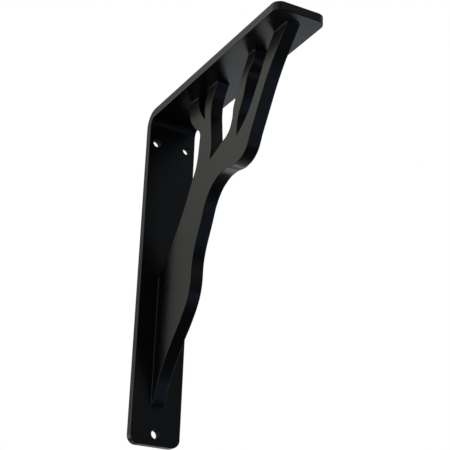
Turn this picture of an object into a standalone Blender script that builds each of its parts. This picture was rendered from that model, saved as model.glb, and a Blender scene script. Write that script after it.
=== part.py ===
"""Wrought iron shelf bracket: a flat bar bent to an L, with a cut plate in the shape of a leaning
tree welded on edge along its middle line. Metres, +Z up. The wall is at y = 0, the bracket stands
out from it towards -Y, and the origin is on the wall face, midway between the upper screw holes."""
import math

import bmesh
import bpy
from mathutils import Vector

MM = 0.001

# The bent bar
BAR_WIDTH = 38.1 * MM
BAR_THICKNESS = 6.35 * MM
BAR_HEIGHT = 254.0 * MM
BAR_REACH = 190.5 * MM
BEND_OUTER_RADIUS = 12.7 * MM
END_CORNER_RADIUS = 6.35 * MM
EDGE_RADIUS = 0.6 * MM

# The screw holes in the wall leg
HOLE_DIAMETER = 6.5 * MM
HOLE_SPACING = 25.0 * MM
UPPER_HOLES_DOWN = 25.0 * MM
LOWER_HOLE_UP = 8.3 * MM

# The tree plate, and the gap that it keeps to the bar
PLATE_THICKNESS = 9.525 * MM
WELD_GAP = 0.3 * MM

TOP = UPPER_HOLES_DOWN
BOTTOM = TOP - BAR_HEIGHT
BEND_STEPS = 10
CORNER_STEPS = 8
HOLE_SIDES = 32
OUTLINE_STEPS = 5
EDGE_STEPS = 2
SHARP_ANGLE = math.radians(40)
FLAT_ANGLE = math.radians(0.1)
MERGE_DISTANCE = 0.01 * MM
SAME_PLACE = 0.1 * MM
CUTTER_DEPTH = 3 * BAR_THICKNESS

# The tree's outline, in millimetres out from the wall and down from the bar's top face. It is
# walked from the foot of the trunk outwards and back to the wall, one cut edge at a time.
SEAT_OUT = (BAR_THICKNESS + WELD_GAP) / MM
SEAT_DOWN = (BAR_THICKNESS + WELD_GAP) / MM
FOOT = [(SEAT_OUT, 227.0), (8.5, 225.5)]
TRUNK_FRONT = [(11.2, 219.6), (16.6, 207.6), (32.8, 187.0), (45.9, 173.0), (54.9, 160.2),
               (57.6, 152.2), (59.8, 131.6), (68.5, 110.7), (79.2, 91.1), (91.7, 83.3),
               (102.5, 81.9), (116.3, 83.2), (128.9, 78.9), (137.2, 65.5), (159.6, 30.2),
               (173.7, 14.4)]
FOURTH_TOP = [(180.9, SEAT_DOWN), (163.3, SEAT_DOWN)]
FOURTH_INSIDE = [(154.7, 16.6), (144.8, 32.9), (128.5, 54.5)]
OUTER_FORK = [(116.6, 62.7)]
THIRD_FRONT = [(117.8, 50.1), (124.8, 35.3), (130.6, 20.3), (135.8, 15.4)]
THIRD_TOP = [(139.4, SEAT_DOWN), (129.7, SEAT_DOWN)]
THIRD_INSIDE = [(120.0, 21.8), (111.0, 37.7), (109.2, 47.8), (105.0, 54.8), (94.6, 59.5)]
MIDDLE_FORK = [(78.6, 65.5)]
SECOND_FRONT = [(80.1, 57.3), (78.7, 39.3), (77.6, 26.8), (79.3, 18.1)]
SECOND_TOP = [(86.3, SEAT_DOWN), (73.0, SEAT_DOWN)]
SECOND_INSIDE = [(67.7, 17.6)]
INNER_FORK = [(68.6, 29.9)]
FIRST_FRONT = [(61.5, 21.0), (58.5, 14.0)]
FIRST_TOP = [(57.5, SEAT_DOWN), (44.6, SEAT_DOWN)]
FIRST_INSIDE = [(44.6, 19.0), (53.5, 30.7), (61.2, 37.7), (61.3, 45.9), (57.7, 64.1),
                (53.5, 71.3), (42.3, 89.7), (24.3, 113.4)]
TRUNK_MEETS_WALL = [(SEAT_OUT, 131.4)]

# The finish
POWDER_COAT = (0.012, 0.013, 0.015, 1.0)
POWDER_COAT_ROUGHNESS = 0.42


def clear_scene():
    for obj in list(bpy.data.objects):
        bpy.data.objects.remove(obj, do_unlink=True)


def new_collection(name):
    collection = bpy.data.collections.new(name)
    bpy.context.scene.collection.children.link(collection)
    return collection


def powder_coat(name):
    material = bpy.data.materials.new(name)
    material.use_nodes = True
    shader = material.node_tree.nodes["Principled BSDF"]
    shader.inputs["Base Color"].default_value = POWDER_COAT
    shader.inputs["Roughness"].default_value = POWDER_COAT_ROUGHNESS
    shader.inputs["Metallic"].default_value = 0.0
    return material


def arc(centre, radius, start, end, steps):
    """Points of a round stretch, with the angles in degrees."""
    angles = [math.radians(start + (end - start) * i / steps) for i in range(steps + 1)]
    return [(centre[0] + radius * math.cos(a), centre[1] + radius * math.sin(a)) for a in angles]


def bar_profile():
    """The side view of the bar: x out from the wall, y up."""
    centre = (BEND_OUTER_RADIUS, TOP - BEND_OUTER_RADIUS)
    inner_radius = BEND_OUTER_RADIUS - BAR_THICKNESS
    outer = arc(centre, BEND_OUTER_RADIUS, 180, 90, BEND_STEPS)
    inner = arc(centre, inner_radius, 90, 180, BEND_STEPS)
    return ([(0.0, BOTTOM)] + outer + [(BAR_REACH, TOP), (BAR_REACH, TOP - BAR_THICKNESS)]
            + inner + [(BAR_THICKNESS, BOTTOM)])


def side_curve(name, thickness):
    """A 2D curve whose plane is the side view, as thick as the piece along X."""
    data = bpy.data.curves.new(name, "CURVE")
    data.dimensions = "2D"
    data.fill_mode = "BOTH"
    data.extrude = thickness / 2
    obj = bpy.data.objects.new(name, data)
    obj.rotation_euler = (math.radians(90), 0.0, math.radians(-90))
    bpy.context.scene.collection.objects.link(obj)
    return obj


def curve_to_piece(curve, collection, material):
    """The curve as a closed mesh in the collection, in the curve's place."""
    bpy.context.view_layer.update()
    evaluated = curve.evaluated_get(bpy.context.evaluated_depsgraph_get())
    mesh = bpy.data.meshes.new_from_object(evaluated)
    bm = bmesh.new()
    bm.from_mesh(mesh)
    bmesh.ops.remove_doubles(bm, verts=bm.verts, dist=MERGE_DISTANCE)
    bmesh.ops.dissolve_limit(bm, angle_limit=FLAT_ANGLE, verts=bm.verts, edges=bm.edges)
    bm.to_mesh(mesh)
    bm.free()
    name = curve.name
    matrix = curve.matrix_world.copy()
    bpy.data.objects.remove(curve, do_unlink=True)
    piece = bpy.data.objects.new(name, mesh)
    piece.matrix_world = matrix
    piece.data.materials.clear()
    piece.data.materials.append(material)
    collection.objects.link(piece)
    return piece


def round_end_corners(piece):
    """Rounds the four corners at the bar's two free ends."""
    bm = bmesh.new()
    bm.from_mesh(piece.data)
    ends = [edge for edge in bm.edges
            if all(abs(v.co.y - BOTTOM) < SAME_PLACE for v in edge.verts)
            or all(abs(v.co.x - BAR_REACH) < SAME_PLACE for v in edge.verts)]
    corners = [edge for edge in ends
               if abs(edge.verts[0].co.z - edge.verts[1].co.z) < SAME_PLACE]
    bmesh.ops.bevel(bm, geom=corners, offset=END_CORNER_RADIUS, segments=CORNER_STEPS,
                    profile=0.5, affect="EDGES")
    bm.to_mesh(piece.data)
    bm.free()


def cut_holes(piece, places, collection):
    """Cuts the screw holes, each at its place (x, z), through the wall leg."""
    for number, (x, z) in enumerate(places, start=1):
        bpy.ops.mesh.primitive_cylinder_add(
            vertices=HOLE_SIDES, radius=HOLE_DIAMETER / 2, depth=CUTTER_DEPTH,
            location=(x, -BAR_THICKNESS / 2, z), rotation=(math.radians(90), 0.0, 0.0))
        cutter = bpy.context.object
        cutter.name = f"screw_hole_cutter_{number}"
        cutter.hide_render = True
        cutter.display_type = "WIRE"
        for holder in list(cutter.users_collection):
            holder.objects.unlink(cutter)
        collection.objects.link(cutter)
        cut = piece.modifiers.new(f"screw_hole_{number}", "BOOLEAN")
        cut.operation = "DIFFERENCE"
        cut.solver = "EXACT"
        cut.object = cutter


def ease_edges(piece):
    """Rounds all sharp edges a little, and shades what is round smooth."""
    bevel = piece.modifiers.new("eased_edges", "BEVEL")
    bevel.width = EDGE_RADIUS
    bevel.segments = EDGE_STEPS
    bevel.limit_method = "ANGLE"
    bevel.angle_limit = SHARP_ANGLE
    piece.data.shade_smooth()
    piece.data.set_sharp_from_angle(angle=SHARP_ANGLE)


def make_bent_bar(collection, cutters):
    curve = side_curve("bent_bar", BAR_WIDTH)
    points = bar_profile()
    spline = curve.data.splines.new("POLY")
    spline.points.add(len(points) - 1)
    for point, (out, up) in zip(spline.points, points):
        point.co = (out, up, 0.0, 1.0)
    spline.use_cyclic_u = True
    bar = curve_to_piece(curve, collection, powder_coat("bar_powder_coat"))
    round_end_corners(bar)
    cut_holes(bar, [(-HOLE_SPACING / 2, 0.0), (HOLE_SPACING / 2, 0.0),
                    (0.0, BOTTOM + LOWER_HOLE_UP)], cutters)
    ease_edges(bar)
    return bar


def tree_outline():
    """The outline's places in order, each with True where the cut turns a corner."""
    runs = [(FOOT, True), (TRUNK_FRONT, False), (FOURTH_TOP, True), (FOURTH_INSIDE, False),
            (OUTER_FORK, True), (THIRD_FRONT, False), (THIRD_TOP, True), (THIRD_INSIDE, False),
            (MIDDLE_FORK, True), (SECOND_FRONT, False), (SECOND_TOP, True),
            (SECOND_INSIDE, False), (INNER_FORK, True), (FIRST_FRONT, False),
            (FIRST_TOP, True), (FIRST_INSIDE, False), (TRUNK_MEETS_WALL, True)]
    return [(Vector((out * MM, TOP - down * MM, 0.0)), corner)
            for places, corner in runs for out, down in places]


def make_tree_plate(collection):
    curve = side_curve("tree_plate", PLATE_THICKNESS)
    outline = tree_outline()
    spline = curve.data.splines.new("BEZIER")
    spline.bezier_points.add(len(outline) - 1)
    for point, (place, corner) in zip(spline.bezier_points, outline):
        point.co = place
        handle = "VECTOR" if corner else "AUTO"
        point.handle_left_type = handle
        point.handle_right_type = handle
    spline.use_cyclic_u = True
    spline.resolution_u = OUTLINE_STEPS
    plate = curve_to_piece(curve, collection, powder_coat("plate_powder_coat"))
    ease_edges(plate)
    return plate


def main():
    clear_scene()
    pieces = new_collection("wrought_iron_bracket")
    cutters = new_collection("cutters")
    make_bent_bar(pieces, cutters)
    make_tree_plate(pieces)


main()
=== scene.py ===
# %% [markdown]
# # A wrought iron shelf bracket, from bare steel to black coat
# The real bracket is two pieces of steel. A flat bar is bent once to an L: one leg is screwed to the
# wall, the other carries the shelf. A thick plate, cut to the outline of a leaning tree, stands on edge
# along the middle of the bar and is welded to both legs. Everything wears one satin black powder coat.
# We build it in the order of the workshop: bar, holes, plate, welds, and then the coat and the light.

# %% Load the measured model that everything is built around
import math

import bmesh
import bpy
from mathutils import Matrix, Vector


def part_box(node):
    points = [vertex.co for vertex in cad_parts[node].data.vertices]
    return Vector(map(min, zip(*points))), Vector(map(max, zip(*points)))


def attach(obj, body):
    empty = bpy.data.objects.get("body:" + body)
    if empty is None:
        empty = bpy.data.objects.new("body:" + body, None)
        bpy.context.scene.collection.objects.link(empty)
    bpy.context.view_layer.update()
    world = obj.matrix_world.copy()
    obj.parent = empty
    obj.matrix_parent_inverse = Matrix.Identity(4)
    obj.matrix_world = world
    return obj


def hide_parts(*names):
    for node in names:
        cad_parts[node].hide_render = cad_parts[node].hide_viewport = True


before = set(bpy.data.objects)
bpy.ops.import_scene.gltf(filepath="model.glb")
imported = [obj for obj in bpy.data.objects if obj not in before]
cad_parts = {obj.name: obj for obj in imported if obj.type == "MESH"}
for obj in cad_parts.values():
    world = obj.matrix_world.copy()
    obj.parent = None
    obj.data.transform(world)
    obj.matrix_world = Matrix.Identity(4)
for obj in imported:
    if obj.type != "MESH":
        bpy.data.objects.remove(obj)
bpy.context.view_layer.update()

MM = 0.001
SAME_PLACE = 0.01 * MM

# %% [markdown]
# ## A few helpers
# An operator in Blender acts on whatever is selected, so every step first says what it acts on. These
# helpers leave one object selected, or, in edit mode, only the edges or faces that a rule picks out by
# their place. Rules by place are worth the trouble: they still work when a size changes.

# %% Helpers for selecting
def hold(piece):
    """Leaves one object selected and active."""
    bpy.ops.object.select_all(action="DESELECT")
    piece.select_set(True)
    bpy.context.view_layer.objects.active = piece


def pick_edges(piece, rule):
    """In edit mode, selects just the edges whose two ends follow the rule."""
    bpy.ops.mesh.select_mode(type="EDGE")
    bpy.ops.mesh.select_all(action="DESELECT")
    mesh = bmesh.from_edit_mesh(piece.data)
    for edge in mesh.edges:
        edge.select_set(rule(edge.verts[0].co, edge.verts[1].co))
    bmesh.update_edit_mesh(piece.data)
    return sum(edge.select for edge in mesh.edges)


def pick_faces(piece, rule):
    """In edit mode, selects just the faces whose centre and normal follow the rule."""
    bpy.ops.mesh.select_mode(type="FACE")
    bpy.ops.mesh.select_all(action="DESELECT")
    mesh = bmesh.from_edit_mesh(piece.data)
    for face in mesh.faces:
        face.select_set(rule(face.calc_center_median(), face.normal))
    bmesh.update_edit_mesh(piece.data)
    return sum(face.select for face in mesh.faces)


def near(a, b):
    """True where two lengths are the same, to within a hundredth of a millimetre."""
    return abs(a - b) < SAME_PLACE


def face_outwards():
    """In edit mode, closes the seams and turns every face to look outwards."""
    bpy.ops.mesh.select_all(action="SELECT")
    bpy.ops.mesh.remove_doubles(threshold=SAME_PLACE)
    bpy.ops.mesh.normals_make_consistent(inside=False)


# %% [markdown]
# ## Sizes of the bar
# The bar's outer sizes are read off the measured model, so the two can't disagree. What the box of the
# model doesn't tell is named here: the thickness of the stock, the radius of the bend, the rounded
# corners at the free ends and the screw holes.

# %% Sizes of the bar
bar_low, bar_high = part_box("bent_bar")
BAR_WIDTH = bar_high.x - bar_low.x
TOP = bar_high.z
BOTTOM = bar_low.z
REACH = -bar_low.y
BAR_THICKNESS = 6.35 * MM
BEND_RADIUS = 12.7 * MM
BEND_STEPS = 32
END_CORNER_RADIUS = 6.35 * MM
END_CORNER_STEPS = 14
HOLE_DIAMETER = 6.5 * MM
UPPER_HOLE_OFFSET = 12.5 * MM
LOWER_HOLE_RISE = 8.3 * MM
HOLE_PLACES = [(-UPPER_HOLE_OFFSET, 0.0), (UPPER_HOLE_OFFSET, 0.0),
               (0.0, BOTTOM + LOWER_HOLE_RISE)]
print("bar, mm:", round(BAR_WIDTH / MM, 2), "wide,", round((TOP - BOTTOM) / MM, 2), "high,",
      round(REACH / MM, 2), "deep")

# %% [markdown]
# ## The bar and its bend
# A bar could be boxed out of cubes, or swept along a curve. But a smith starts from the bar's end
# section and lets the steel follow the bend, and edit mode can do just that: a small plane is the
# section, extruded up the wall, spun through a quarter turn and extruded out under the shelf. The
# section stays the same all the way, as it does in real bar.

# %% Sweep the bar from its section
def sweep_bar():
    bpy.ops.object.select_all(action="DESELECT")
    bpy.ops.mesh.primitive_plane_add(size=1.0, location=(0.0, -BAR_THICKNESS / 2, BOTTOM))
    bar = bpy.context.object
    bar.name = "coated_bar"
    bar.scale = (BAR_WIDTH, BAR_THICKNESS, 1.0)
    bpy.ops.object.transform_apply(location=True, rotation=True, scale=True)
    bend_centre = (0.0, -BEND_RADIUS, TOP - BEND_RADIUS)
    wall_leg = TOP - BEND_RADIUS - BOTTOM
    shelf_leg = REACH - BEND_RADIUS
    bpy.ops.object.mode_set(mode="EDIT")
    bpy.ops.mesh.select_all(action="SELECT")
    bpy.ops.mesh.extrude_region_move(TRANSFORM_OT_translate={"value": (0.0, 0.0, wall_leg)})
    bpy.ops.mesh.spin(steps=BEND_STEPS, angle=math.radians(90), center=bend_centre,
                      axis=(-1.0, 0.0, 0.0))
    bpy.ops.mesh.extrude_region_move(TRANSFORM_OT_translate={"value": (0.0, -shelf_leg, 0.0)})
    face_outwards()
    bpy.ops.object.mode_set(mode="OBJECT")
    return bar


bar = sweep_bar()
print("bar swept:", len(bar.data.polygons), "faces, reaches", [round(c / MM, 2) for c in bar.dimensions])

# %% [markdown]
# ## Rounded ends
# The four corners at the two free ends have a generous radius, so that nobody catches a sleeve on
# them. In edit mode that is a bevel of the four short edges that run through the thickness.

# %% Round the free ends
def is_end_corner(a, b):
    through_foot = near(a.z, BOTTOM) and near(b.z, BOTTOM)
    through_tip = near(a.y, -REACH) and near(b.y, -REACH)
    return (through_foot or through_tip) and near(a.x, b.x)


hold(bar)
bpy.ops.object.mode_set(mode="EDIT")
corners = pick_edges(bar, is_end_corner)
bpy.ops.mesh.bevel(offset=END_CORNER_RADIUS, segments=END_CORNER_STEPS, affect="EDGES")
bpy.ops.object.mode_set(mode="OBJECT")
print("corners rounded:", corners)

# %% [markdown]
# ## Soft edges
# Rolled bar has no knife edges, and powder builds up round on what edges there are. In a satin black
# finish these thin roundings are most of what the eye reads, because each one mirrors a little of the
# studio. A Bevel modifier finds all sharp edges by their angle and rounds them at once.

# %% Ease the edges
EDGE_RADIUS = 0.5 * MM
EDGE_STEPS = 4
SHARP_ANGLE = math.radians(35)


def ease_edges(piece):
    hold(piece)
    rounding = piece.modifiers.new("eased_edges", "BEVEL")
    rounding.width = EDGE_RADIUS
    rounding.segments = EDGE_STEPS
    rounding.limit_method = "ANGLE"
    rounding.angle_limit = SHARP_ANGLE
    bpy.ops.object.modifier_apply(modifier=rounding.name)


ease_edges(bar)
print("bar with eased edges:", len(bar.data.polygons), "faces")

# %% [markdown]
# ## Screw holes
# The holes are drilled after the edges are eased, so that their rims stay crisp, as a drill leaves
# them. A drill is a cylinder that takes away what it meets, and so is a Boolean modifier. Each cylinder
# is longer than the bar is thick, and is deleted once its cut is applied. The rims then lose only
# their burr: in edit mode, a bevel of a few hundredths of a millimetre, just enough to catch light.

# %% Drill the screw holes
HOLE_RADIUS = HOLE_DIAMETER / 2
DRILL_SIDES = 64
DRILL_LENGTH = 4 * BAR_THICKNESS
RIM_RADIUS = 0.05 * MM
RIM_STEPS = 2
LONGEST_RIM_EDGE = HOLE_RADIUS / 4


def drill(piece, x, z):
    bpy.ops.object.select_all(action="DESELECT")
    bpy.ops.mesh.primitive_cylinder_add(vertices=DRILL_SIDES, radius=HOLE_RADIUS, depth=DRILL_LENGTH,
                                        location=(x, -BAR_THICKNESS / 2, z),
                                        rotation=(math.radians(90), 0.0, 0.0))
    drill_bit = bpy.context.object
    hold(piece)
    cut = piece.modifiers.new("hole", "BOOLEAN")
    cut.operation = "DIFFERENCE"
    cut.solver = "EXACT"
    cut.object = drill_bit
    bpy.ops.object.modifier_apply(modifier=cut.name)
    bpy.data.objects.remove(drill_bit, do_unlink=True)


def from_hole(place):
    """How far a place is from the middle line of its nearest hole."""
    return min(math.hypot(place.x - x, place.z - z) for x, z in HOLE_PLACES)


def is_rim_edge(a, b):
    on_rim = near(from_hole(a), HOLE_RADIUS) and near(from_hole(b), HOLE_RADIUS)
    return on_rim and near(a.y, b.y) and (a - b).length < LONGEST_RIM_EDGE


for x, z in HOLE_PLACES:
    drill(bar, x, z)
hold(bar)
bpy.ops.object.mode_set(mode="EDIT")
rim_edges = pick_edges(bar, is_rim_edge)
bpy.ops.mesh.bevel(offset=RIM_RADIUS, segments=RIM_STEPS, affect="EDGES")
bpy.ops.object.mode_set(mode="OBJECT")
print("holes drilled:", len(HOLE_PLACES), "with", rim_edges, "rim edges")

# %% [markdown]
# ## Flat stays flat
# Smooth shading blends the direction of neighbouring faces, and next to a small rounding that would make
# a flat face look swollen. Weighted normals give the say to the largest face, so the flats stay flat and
# all of the turning happens in the roundings. That matters most where a surface is as glossy as here.

# %% Shade the bar
def settle_shading(piece):
    hold(piece)
    bpy.ops.object.shade_smooth_by_angle(angle=SHARP_ANGLE)
    weighting = piece.modifiers.new("flat_stays_flat", "WEIGHTED_NORMAL")
    weighting.keep_sharp = True
    bpy.ops.object.modifier_apply(modifier=weighting.name)


settle_shading(bar)
print("bar finished:", len(bar.data.polygons), "faces")

# %% [markdown]
# ## The outline of the tree
# A plate like this is cut with a torch or a laser that follows a drawn outline. We draw ours as a
# list of places, in millimetres out from the wall and down from the top of the bar, walked once round:
# up the front of the trunk, in and out of the four branch tops, and back down to the wall. A place is
# either a corner, where the cut turns sharply, or a soft point that the cut passes smoothly.

# %% Places on the outline
plate_low, plate_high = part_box("tree_plate")
PLATE_THICKNESS = plate_high.x - plate_low.x
WELD_GAP = 0.3 * MM
SEAT = (BAR_THICKNESS + WELD_GAP) / MM
FOOT = [(SEAT, 227.0), (8.5, 225.5)]
TRUNK_FRONT = [(11.2, 219.6), (16.6, 207.6), (32.8, 187.0), (45.9, 173.0), (54.9, 160.2),
               (57.6, 152.2), (59.8, 131.6), (68.5, 110.7), (79.2, 91.1), (91.7, 83.3),
               (102.5, 81.9), (116.3, 83.2), (128.9, 78.9), (137.2, 65.5), (159.6, 30.2),
               (173.7, 14.4)]
FOURTH_TOP = [(180.9, SEAT), (163.3, SEAT)]
FOURTH_INSIDE = [(154.7, 16.6), (144.8, 32.9), (128.5, 54.5)]
OUTER_FORK = [(116.6, 62.7)]
THIRD_FRONT = [(117.8, 50.1), (124.8, 35.3), (130.6, 20.3), (135.8, 15.4)]
THIRD_TOP = [(139.4, SEAT), (129.7, SEAT)]
THIRD_INSIDE = [(120.0, 21.8), (111.0, 37.7), (109.2, 47.8), (105.0, 54.8), (94.6, 59.5)]
MIDDLE_FORK = [(78.6, 65.5)]
SECOND_FRONT = [(80.1, 57.3), (78.7, 39.3), (77.6, 26.8), (79.3, 18.1)]
SECOND_TOP = [(86.3, SEAT), (73.0, SEAT)]
SECOND_INSIDE = [(67.7, 17.6)]
INNER_FORK = [(68.6, 29.9)]
FIRST_FRONT = [(61.5, 21.0), (58.5, 14.0)]
FIRST_TOP = [(57.5, SEAT), (44.6, SEAT)]
FIRST_INSIDE = [(44.6, 19.0), (53.5, 30.7), (61.2, 37.7), (61.3, 45.9), (57.7, 64.1),
                (53.5, 71.3), (42.3, 89.7), (24.3, 113.4)]
TRUNK_TOP = [(SEAT, 131.4)]
CORNER_RUNS = (FOOT, FOURTH_TOP, OUTER_FORK, THIRD_TOP, MIDDLE_FORK, SECOND_TOP, INNER_FORK,
               FIRST_TOP, TRUNK_TOP)
OUTLINE_RUNS = (FOOT, TRUNK_FRONT, FOURTH_TOP, FOURTH_INSIDE, OUTER_FORK, THIRD_FRONT, THIRD_TOP,
                THIRD_INSIDE, MIDDLE_FORK, SECOND_FRONT, SECOND_TOP, SECOND_INSIDE, INNER_FORK,
                FIRST_FRONT, FIRST_TOP, FIRST_INSIDE, TRUNK_TOP)
outline = [place for run in OUTLINE_RUNS for place in run]
corner_places = [place for run in CORNER_RUNS for place in run]
print("outline places:", len(outline), "of them corners:", len(corner_places))

# %% [markdown]
# ## The tree plate
# Drawing the outline with a Bezier curve keeps it smooth between few points, just as a cutter's line
# is. Soft points get automatic handles and corners get straight ones. The curve is stood on edge and
# made a mesh, and its flat face is then thickened with one extrude.

# %% Cut the tree plate
STEPS_BETWEEN_PLACES = 9
STRAIGHT_ENOUGH = math.radians(0.1)


def draw_outline():
    bpy.ops.object.select_all(action="DESELECT")
    bpy.ops.curve.primitive_bezier_circle_add(radius=1.0, location=(0.0, 0.0, 0.0))
    line = bpy.context.object
    line.data.dimensions = "2D"
    line.data.fill_mode = "BOTH"
    spline = line.data.splines[0]
    spline.bezier_points.add(len(outline) - len(spline.bezier_points))
    for point, (out, down) in zip(spline.bezier_points, outline):
        handle = "VECTOR" if (out, down) in corner_places else "AUTO"
        point.handle_left_type = handle
        point.handle_right_type = handle
        point.co = (out * MM, TOP - down * MM, 0.0)
    spline.use_cyclic_u = True
    spline.resolution_u = STEPS_BETWEEN_PLACES
    return line


def cut_plate(line):
    hold(line)
    line.rotation_euler = (math.radians(90), 0.0, math.radians(-90))
    bpy.ops.object.convert(target="MESH")
    plate = bpy.context.object
    plate.name = "coated_tree"
    plate.location.x = -PLATE_THICKNESS / 2
    bpy.ops.object.transform_apply(location=True, rotation=True, scale=True)
    bpy.ops.object.mode_set(mode="EDIT")
    bpy.ops.mesh.select_all(action="SELECT")
    bpy.ops.mesh.remove_doubles(threshold=SAME_PLACE)
    bpy.ops.mesh.dissolve_limited(angle_limit=STRAIGHT_ENOUGH)
    bpy.ops.mesh.select_all(action="SELECT")
    bpy.ops.mesh.extrude_region_move(TRANSFORM_OT_translate={"value": (PLATE_THICKNESS, 0.0, 0.0)})
    face_outwards()
    bpy.ops.object.mode_set(mode="OBJECT")
    return plate


tree = cut_plate(draw_outline())
print("plate cut:", len(tree.data.polygons), "faces, mm:", [round(c / MM, 2) for c in tree.dimensions])
ease_edges(tree)
settle_shading(tree)
print("plate with eased edges:", len(tree.data.polygons), "faces")

# %% [markdown]
# ## The welds
# Where the plate stands on the bar, a thin fillet of weld runs along both of its sides. Seen in
# section it is a small hollow, which under a glossy coat shows as one fine light line. A box a little
# wider than the plate, with its rim bevelled to a hollow profile, gives both fillets at once: the rest
# of the box is hidden in the plate. There are five: a heavier one on the wall leg, which carries the
# load, and a finer one at each branch top. The one on the wall leg runs out a little past the foot.

# %% Lay the weld beads
TRUNK_LEG = 0.8 * MM
BRANCH_LEG = 0.5 * MM
WELD_SINK = 0.15 * MM
PAST_THE_FOOT = 0.8 * MM
HOLLOW_PROFILE = 0.086
HOLLOW_STEPS = 6
BEAD_CORNER_SHARE = 0.9
BEAD_CORNER_STEPS = 4
WELD_SHARP_ANGLE = math.radians(50)


def looks_up(centre, normal):
    return normal.z > 0.99


def weld_bead(name, leg, start, end, start_lean, end_lean):
    """A fillet beside a seat that runs from start to end along +Y, on a bar face at z = 0. The leans
    say how far each end of the plate moves along the seat for each unit of height."""
    bpy.ops.object.select_all(action="DESELECT")
    bpy.ops.mesh.primitive_cube_add(size=1.0, location=(0.0, (start + end) / 2, leg / 2))
    bead = bpy.context.object
    bead.name = name
    bead.scale = (PLATE_THICKNESS + 2 * leg, end - start, leg + 2 * WELD_SINK)
    bpy.ops.object.transform_apply(location=True, rotation=True, scale=True)
    bpy.ops.object.mode_set(mode="EDIT")
    for is_far, lean in ((False, start_lean), (True, end_lean)):
        pick_edges(bead, lambda a, b: a.z > 0 and b.z > 0 and near(a.y, b.y)
                   and (a.y > (start + end) / 2) == is_far)
        bpy.ops.transform.translate(value=(0.0, lean * leg, 0.0))
    pick_edges(bead, lambda a, b: (a.z > 0) != (b.z > 0))
    bpy.ops.mesh.bevel(offset=BEAD_CORNER_SHARE * leg, segments=BEAD_CORNER_STEPS, affect="EDGES")
    pick_faces(bead, looks_up)
    bpy.ops.mesh.region_to_loop()
    bpy.ops.mesh.bevel(offset=leg, segments=HOLLOW_STEPS, profile=HOLLOW_PROFILE, affect="EDGES")
    bpy.ops.object.mode_set(mode="OBJECT")
    bpy.ops.object.shade_smooth_by_angle(angle=WELD_SHARP_ANGLE)
    return bead


def edge_lean(corner, neighbour, along, away):
    """How far the plate's edge moves along the seat for each unit away from the bar."""
    return (neighbour[along] - corner[along]) / abs(neighbour[away] - corner[away])


OUT, DOWN = 0, 1
trunk_weld = weld_bead(
    "trunk_weld", TRUNK_LEG, TOP - FOOT[0][DOWN] * MM - PAST_THE_FOOT, TOP - TRUNK_TOP[0][DOWN] * MM,
    -edge_lean(FOOT[0], FOOT[1], DOWN, OUT), -edge_lean(TRUNK_TOP[0], FIRST_INSIDE[-1], DOWN, OUT))
trunk_weld.rotation_euler = (math.radians(90), 0.0, 0.0)
trunk_weld.location = (0.0, -BAR_THICKNESS, 0.0)
welds = [trunk_weld]
for name, top, before, after in (("first_branch_weld", FIRST_TOP, FIRST_FRONT[-1], FIRST_INSIDE[0]),
                                 ("second_branch_weld", SECOND_TOP, SECOND_FRONT[-1], SECOND_INSIDE[0]),
                                 ("third_branch_weld", THIRD_TOP, THIRD_FRONT[-1], THIRD_INSIDE[0]),
                                 ("fourth_branch_weld", FOURTH_TOP, TRUNK_FRONT[-1], FOURTH_INSIDE[0])):
    outer, inner = top
    weld = weld_bead(name, BRANCH_LEG, inner[OUT] * MM, outer[OUT] * MM,
                     edge_lean(inner, after, OUT, DOWN), edge_lean(outer, before, OUT, DOWN))
    weld.rotation_euler = (math.radians(180), 0.0, 0.0)
    weld.location = (0.0, 0.0, TOP - BAR_THICKNESS)
    welds.append(weld)
for weld in welds:
    hold(weld)
    bpy.ops.object.transform_apply(location=True, rotation=True, scale=True)
print("welds:", [(weld.name, len(weld.data.polygons)) for weld in welds])

# %% [markdown]
# ## Effects that the coats share
# Powder coat is sprayed on as dry dust and baked until it flows. It never flows quite flat: looked at
# closely it has a skin like fine orange peel, and over a hand's width its gloss drifts a little. Both
# effects are node groups, made once and placed in each material with its own values.

# %% Node groups for the coat
GRIT_FINENESS = 5.0
CLOUD_LOW = 0.3
CLOUD_HIGH = 0.7


def new_group(name, inputs, outputs):
    """An empty node group with these sockets, and the nodes where they come in and go out."""
    group = bpy.data.node_groups.new(name, "ShaderNodeTree")
    for label, kind, value in inputs:
        socket = group.interface.new_socket(name=label, in_out="INPUT", socket_type=kind)
        if value is not None:
            socket.default_value = value
    for label, kind in outputs:
        group.interface.new_socket(name=label, in_out="OUTPUT", socket_type=kind)
    return group, group.nodes.new("NodeGroupInput"), group.nodes.new("NodeGroupOutput")


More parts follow.
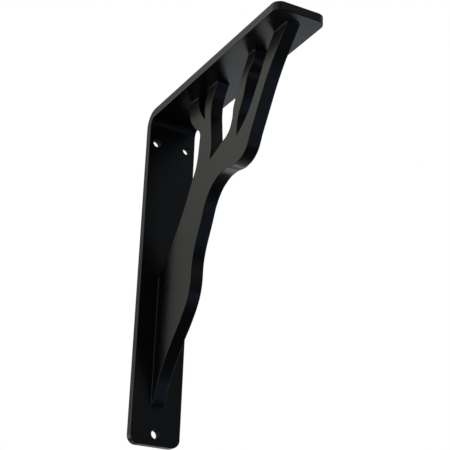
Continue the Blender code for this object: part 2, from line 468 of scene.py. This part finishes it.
def make_orange_peel():
    """A skin of soft bumps, about Size across, with some finer grit mixed in."""
    group, given, result = new_group(
        "orange_peel",
        [("Vector", "NodeSocketVector", None), ("Size", "NodeSocketFloat", 1.4 * MM),
         ("Grit", "NodeSocketFloat", 0.25)],
        [("Height", "NodeSocketFloat")])
    link = group.links.new
    per_metre = group.nodes.new("ShaderNodeMath")
    per_metre.operation = "DIVIDE"
    per_metre.inputs[0].default_value = 1.0
    link(given.outputs["Size"], per_metre.inputs[1])
    peel = group.nodes.new("ShaderNodeTexNoise")
    peel.inputs["Detail"].default_value = 1.0
    link(given.outputs["Vector"], peel.inputs["Vector"])
    link(per_metre.outputs[0], peel.inputs["Scale"])
    fine_per_metre = group.nodes.new("ShaderNodeMath")
    fine_per_metre.operation = "MULTIPLY"
    fine_per_metre.inputs[1].default_value = GRIT_FINENESS
    link(per_metre.outputs[0], fine_per_metre.inputs[0])
    grit = group.nodes.new("ShaderNodeTexNoise")
    grit.inputs["Detail"].default_value = 2.0
    link(given.outputs["Vector"], grit.inputs["Vector"])
    link(fine_per_metre.outputs[0], grit.inputs["Scale"])
    mix = group.nodes.new("ShaderNodeMix")
    link(given.outputs["Grit"], mix.inputs["Factor"])
    link(peel.outputs["Fac"], mix.inputs["A"])
    link(grit.outputs["Fac"], mix.inputs["B"])
    link(mix.outputs["Result"], result.inputs["Height"])
    return group


def make_gloss_drift():
    """A slow cloud that moves a value between Low and High, from patch to patch."""
    group, given, result = new_group(
        "gloss_drift",
        [("Vector", "NodeSocketVector", None), ("Patch Size", "NodeSocketFloat", 45 * MM),
         ("Low", "NodeSocketFloat", 0.27), ("High", "NodeSocketFloat", 0.33)],
        [("Value", "NodeSocketFloat"), ("Mask", "NodeSocketFloat")])
    link = group.links.new
    per_metre = group.nodes.new("ShaderNodeMath")
    per_metre.operation = "DIVIDE"
    per_metre.inputs[0].default_value = 1.0
    link(given.outputs["Patch Size"], per_metre.inputs[1])
    cloud = group.nodes.new("ShaderNodeTexNoise")
    cloud.inputs["Detail"].default_value = 3.0
    link(given.outputs["Vector"], cloud.inputs["Vector"])
    link(per_metre.outputs[0], cloud.inputs["Scale"])
    spread = group.nodes.new("ShaderNodeMapRange")
    spread.inputs["From Min"].default_value = CLOUD_LOW
    spread.inputs["From Max"].default_value = CLOUD_HIGH
    link(cloud.outputs["Fac"], spread.inputs["Value"])
    link(given.outputs["Low"], spread.inputs["To Min"])
    link(given.outputs["High"], spread.inputs["To Max"])
    link(spread.outputs["Result"], result.inputs["Value"])
    link(cloud.outputs["Fac"], result.inputs["Mask"])
    return group


orange_peel = make_orange_peel()
gloss_drift = make_gloss_drift()
print("effects:", orange_peel.name, "and", gloss_drift.name)

# %% [markdown]
# ## The black coat
# The same powder lies on three kinds of steel, and a little of each comes through. The bar keeps faint
# rolling marks along its length, the plate has fine cutting marks across its cut edges, and the weld
# has ripples. Powder hardly flies into a drilled hole, so there it lies thin, dull and rough over the
# drill's rings. The coat is therefore one function, and each material hands it its gloss and the
# marks that lie under it.

# %% The powder coat as a function
COAT_DARK = (0.0008, 0.0008, 0.0009, 1.0)
COAT_LIGHT = (0.0012, 0.0012, 0.0013, 1.0)
COAT_IOR = 1.5


def place_group(nodes, group, **values):
    """Places a node group with its own values. An underscore stands for a space in a socket's name."""
    node = nodes.new("ShaderNodeGroup")
    node.node_tree = group
    for label, value in values.items():
        node.inputs[label.replace("_", " ")].default_value = value
    return node


def powder_coat(name, dullness, peel_size, peel_depth, marks_stretch, marks_depth):
    """Dullness is the range of the roughness. Marks_stretch scales the pattern along each axis: a small
    number draws it out into lines."""
    material = bpy.data.materials.new(name)
    material.use_nodes = True
    nodes, link = material.node_tree.nodes, material.node_tree.links.new
    shader = nodes["Principled BSDF"]
    place = nodes.new("ShaderNodeTexCoord")
    drift = place_group(nodes, gloss_drift, Low=dullness[0], High=dullness[1])
    link(place.outputs["Object"], drift.inputs["Vector"])
    link(drift.outputs["Value"], shader.inputs["Roughness"])
    tone = nodes.new("ShaderNodeMix")
    tone.data_type = "RGBA"
    tone.inputs["A"].default_value = COAT_DARK
    tone.inputs["B"].default_value = COAT_LIGHT
    link(drift.outputs["Mask"], tone.inputs["Factor"])
    link(tone.outputs["Result"], shader.inputs["Base Color"])
    peel = place_group(nodes, orange_peel, Size=peel_size)
    link(place.outputs["Object"], peel.inputs["Vector"])
    marks_place = nodes.new("ShaderNodeMapping")
    marks_place.inputs["Scale"].default_value = marks_stretch
    link(place.outputs["Object"], marks_place.inputs["Vector"])
    marks = nodes.new("ShaderNodeTexNoise")
    marks.inputs["Scale"].default_value = 1.0
    marks.inputs["Detail"].default_value = 2.0
    link(marks_place.outputs["Vector"], marks.inputs["Vector"])
    marks_bump = nodes.new("ShaderNodeBump")
    marks_bump.inputs["Strength"].default_value = 1.0
    marks_bump.inputs["Distance"].default_value = marks_depth
    link(marks.outputs["Fac"], marks_bump.inputs["Height"])
    peel_bump = nodes.new("ShaderNodeBump")
    peel_bump.inputs["Strength"].default_value = 1.0
    peel_bump.inputs["Distance"].default_value = peel_depth
    link(peel.outputs["Height"], peel_bump.inputs["Height"])
    link(marks_bump.outputs["Normal"], peel_bump.inputs["Normal"])
    link(peel_bump.outputs["Normal"], shader.inputs["Normal"])
    shader.inputs["Metallic"].default_value = 0.0
    shader.inputs["IOR"].default_value = COAT_IOR
    return material


SATIN = (0.27, 0.33)
DULL = (0.75, 0.9)
bar_coat = powder_coat("coat_on_rolled_bar", SATIN, peel_size=1.6 * MM, peel_depth=0.02 * MM,
                       marks_stretch=(300.0, 40.0, 40.0), marks_depth=0.01 * MM)
tree_coat = powder_coat("coat_on_cut_plate", SATIN, peel_size=1.4 * MM, peel_depth=0.02 * MM,
                        marks_stretch=(20.0, 700.0, 700.0), marks_depth=0.01 * MM)
weld_coat = powder_coat("coat_on_weld", SATIN, peel_size=0.9 * MM, peel_depth=0.03 * MM,
                        marks_stretch=(300.0, 500.0, 500.0), marks_depth=0.03 * MM)
hole_coat = powder_coat("coat_in_drilled_hole", DULL, peel_size=0.8 * MM, peel_depth=0.04 * MM,
                        marks_stretch=(60.0, 2500.0, 60.0), marks_depth=0.02 * MM)
for piece, coat in ((bar, bar_coat), (tree, tree_coat), *((weld, weld_coat) for weld in welds)):
    piece.data.materials.clear()
    piece.data.materials.append(coat)
print("coats:", [material.name for material in (bar_coat, tree_coat, weld_coat, hole_coat)])

# %% [markdown]
# ## The coat inside the holes
# The bar wears two coats, one outside and one in its holes. In edit mode the rule for the hole's faces
# is their distance from the middle line of the hole, and they are then given the second material.

# %% Coat the inside of the holes
def is_inside_hole(centre, normal):
    """True on the wall of a hole, whose faces look across the hole and not along it."""
    return from_hole(centre) < HOLE_RADIUS + SAME_PLACE and abs(normal.y) < 0.1


bar.data.materials.append(hole_coat)
hold(bar)
bpy.ops.object.mode_set(mode="EDIT")
hole_faces = pick_faces(bar, is_inside_hole)
bar.active_material_index = 1
bpy.ops.object.material_slot_assign()
bpy.ops.object.mode_set(mode="OBJECT")
print("faces inside the holes:", hole_faces)

# %% [markdown]
# ## Camera
# The picture is taken from the bracket's left and from a little below its lower end, looking up, with a
# long lens. The place and turn come from matching the bar's straight edges, at the sizes given above,
# to where they fall in the picture.

# %% Set the camera
CAMERA_PLACE = (-0.35164, -0.75669, -0.3993)
CAMERA_TURN = (112.165, -2.0747, -28.8909)
CAMERA_LENS = 96.31
SENSOR_WIDTH = 36.0
NEAREST_SEEN = 0.01
bpy.ops.object.select_all(action="DESELECT")
bpy.ops.object.camera_add(location=CAMERA_PLACE, rotation=[math.radians(turn) for turn in CAMERA_TURN])
camera = bpy.context.object
camera.name = "camera"
camera.data.lens = CAMERA_LENS
camera.data.sensor_width = SENSOR_WIDTH
camera.data.clip_start = NEAREST_SEEN
bpy.context.scene.camera = camera
print("camera at", [round(c, 3) for c in camera.location], "lens", camera.data.lens)

# %% [markdown]
# ## The studio
# Black gloss has hardly any colour of its own: what we see of it is the room that it mirrors. So the
# light is planned as a photographer would plan it, from where each face looks. The left faces mirror
# what is behind on the left, the underside mirrors what is behind and low on the right, and the edges
# that face the camera mirror a dim room in front. The world is built as a dim room with soft panels,
# each a spot on the sphere with a soft rim. The last three hardly show from this camera: they are for
# the bracket's other sides. The camera itself sees plain white behind the bracket. The node group is
# one such panel.

# %% Soft panels for the world
def make_soft_panel():
    """Light that is full inside the core around Axis, and has faded out at the rim."""
    group, given, result = new_group(
        "soft_panel",
        [("Direction", "NodeSocketVector", None), ("Axis", "NodeSocketVector", None),
         ("Rim Cosine", "NodeSocketFloat", 0.7), ("Core Cosine", "NodeSocketFloat", 0.95),
         ("Light", "NodeSocketColor", (1.0, 1.0, 1.0, 1.0))],
        [("Color", "NodeSocketColor")])
    link = group.links.new
    cosine = group.nodes.new("ShaderNodeVectorMath")
    cosine.operation = "DOT_PRODUCT"
    link(given.outputs["Direction"], cosine.inputs[0])
    link(given.outputs["Axis"], cosine.inputs[1])
    fade = group.nodes.new("ShaderNodeMapRange")
    fade.interpolation_type = "SMOOTHSTEP"
    link(cosine.outputs["Value"], fade.inputs["Value"])
    link(given.outputs["Rim Cosine"], fade.inputs["From Min"])
    link(given.outputs["Core Cosine"], fade.inputs["From Max"])
    light = group.nodes.new("ShaderNodeVectorMath")
    light.operation = "SCALE"
    link(given.outputs["Light"], light.inputs["Vector"])
    link(fade.outputs["Result"], light.inputs["Scale"])
    link(light.outputs["Vector"], result.inputs["Color"])
    return group


def towards(to_left, up):
    """The direction that is so many degrees left of straight behind the bracket, and up."""
    turn, rise = math.radians(to_left), math.radians(up)
    return (-math.sin(turn) * math.cos(rise), math.cos(turn) * math.cos(rise), math.sin(rise))


ROOM_UPPER = (0.011, 0.009, 0.009)
ROOM_LOWER = (0.018, 0.019, 0.025)
# The room goes from its lower to its upper light between these heights on a sphere of radius 1.
FADE_START = (-0.8, -0.8, -0.8)
FADE_END = (-0.2, -0.2, -0.2)
BACKDROP = (1.0, 1.0, 1.0, 1.0)
# For each panel: degrees to the left, degrees up, how wide its core and its rim are to each side of
# its middle, also in degrees, and its light.
PANELS = {
    "high_behind": (18, 47, 1, 22, (0.15, 0.13, 0.13)),
    "behind_left": (48, 30, 15, 23, (0.64, 0.64, 0.54)),
    "left": (47, -3, 15, 25.5, (1.68, 1.73, 1.67)),
    "low_behind": (4, -39, 15, 24, (0.34, 0.34, 0.34)),
    "low_right": (-33.5, -20, 1, 11, (2.00, 2.08, 2.25)),
    "right": (-77, 1, 10, 69, (0.47, 0.48, 0.47)),
    "front": (210, 24, 7, 29, (0.105, 0.125, 0.15)),
    "low_front": (226, -21, 1, 14, (0.90, 1.32, 1.95)),
    "above": (82, 71, 19, 79, (0.21, 0.22, 0.23)),
    "side_left": (102, 22, 5, 30, (0.42, 0.42, 0.41)),
    "high_front": (190, 42, 2, 18, (0.36, 0.38, 0.40)),
    "front_left": (135, -30, 6, 26, (0.50, 0.50, 0.50)),
    "low_left": (90, -12, 6, 34, (0.80, 0.80, 0.80)),
    "facing": (164, -14, 8, 24, (0.55, 0.55, 0.55)),
    "overhead": (45, 72, 6, 28, (0.50, 0.50, 0.50)),
}
soft_panel = make_soft_panel()


def add_colors(nodes, link, a, b):
    total = nodes.new("ShaderNodeVectorMath")
    total.operation = "ADD"
    link(a, total.inputs[0])
    link(b, total.inputs[1])
    return total.outputs["Vector"]


def make_world():
    world = bpy.data.worlds.new("studio")
    bpy.context.scene.world = world
    world.use_nodes = True
    nodes, link = world.node_tree.nodes, world.node_tree.links.new
    nodes.clear()
    place = nodes.new("ShaderNodeTexCoord")
    direction = place.outputs["Generated"]
    split = nodes.new("ShaderNodeSeparateXYZ")
    link(direction, split.inputs["Vector"])
    room = nodes.new("ShaderNodeMapRange")
    room.data_type = "FLOAT_VECTOR"
    room.interpolation_type = "SMOOTHSTEP"
    height = nodes.new("ShaderNodeCombineXYZ")
    for axis in ("X", "Y", "Z"):
        link(split.outputs["Z"], height.inputs[axis])
    link(height.outputs["Vector"], room.inputs["Vector"])
    room.inputs["From Min"].default_value = FADE_START
    room.inputs["From Max"].default_value = FADE_END
    room.inputs["To Min"].default_value = ROOM_LOWER
    room.inputs["To Max"].default_value = ROOM_UPPER
    total = room.outputs["Vector"]
    for name, (to_left, up, core, rim, light) in PANELS.items():
        panel = place_group(nodes, soft_panel, Axis=towards(to_left, up),
                            Rim_Cosine=math.cos(math.radians(rim)),
                            Core_Cosine=math.cos(math.radians(core)), Light=(*light, 1.0))
        panel.name = name
        link(direction, panel.inputs["Direction"])
        total = add_colors(nodes, link, total, panel.outputs["Color"])
    mirrored = nodes.new("ShaderNodeBackground")
    link(total, mirrored.inputs["Color"])
    backdrop = nodes.new("ShaderNodeBackground")
    backdrop.inputs["Color"].default_value = BACKDROP
    path = nodes.new("ShaderNodeLightPath")
    mix = nodes.new("ShaderNodeMixShader")
    link(path.outputs["Is Camera Ray"], mix.inputs["Fac"])
    link(mirrored.outputs["Background"], mix.inputs[1])
    link(backdrop.outputs["Background"], mix.inputs[2])
    output = nodes.new("ShaderNodeOutputWorld")
    link(mix.outputs["Shader"], output.inputs["Surface"])


make_world()
bpy.context.scene.view_settings.view_transform = "Standard"
print("panels in the studio:", ", ".join(PANELS))

# %% [markdown]
# ## Floor and top light
# The floor is a plain pale sheet well below the bracket, there for the views from above. A very broad
# soft light overhead brightens it evenly, out to its far edge, and adds next to nothing to the
# bracket, whose coat has hardly any colour to scatter it. The gloss sees neither: the studio's panels
# are planned already, and a white floor mirrored in the lower faces would spoil them.

# %% Lay the floor and hang the top light
FLOOR_HEIGHT = -0.52
FLOOR_SIZE = 16.0
FLOOR_COLOR = (0.86, 0.86, 0.85, 1.0)
FLOOR_ROUGHNESS = 0.9
TOP_LIGHT_PLACE = (0.0, 0.1, 1.9)
TOP_LIGHT_SIZE = 40.0
TOP_LIGHT_POWER = 5750.0

bpy.ops.object.select_all(action="DESELECT")
bpy.ops.mesh.primitive_plane_add(size=FLOOR_SIZE, location=(0.0, 0.0, FLOOR_HEIGHT))
floor = bpy.context.object
floor.name = "floor"
floor.visible_glossy = False
floor.visible_diffuse = False
floor.visible_shadow = False
paper = bpy.data.materials.new("pale_floor")
paper.use_nodes = True
paper_shader = paper.node_tree.nodes["Principled BSDF"]
paper_shader.inputs["Base Color"].default_value = FLOOR_COLOR
paper_shader.inputs["Roughness"].default_value = FLOOR_ROUGHNESS
floor.data.materials.append(paper)

bpy.ops.object.light_add(type="AREA", location=TOP_LIGHT_PLACE)
top_light = bpy.context.object
top_light.name = "top_light"
top_light.data.shape = "SQUARE"
top_light.data.size = TOP_LIGHT_SIZE
top_light.data.energy = TOP_LIGHT_POWER
top_light.visible_camera = False
top_light.visible_glossy = False
print("floor at", FLOOR_HEIGHT, "m and top light of", TOP_LIGHT_POWER, "W")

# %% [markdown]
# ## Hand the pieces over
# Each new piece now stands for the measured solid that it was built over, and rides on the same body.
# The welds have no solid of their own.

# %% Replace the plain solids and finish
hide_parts("bent_bar")
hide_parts("tree_plate")
for piece in (bar, tree, *welds):
    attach(piece, "root")
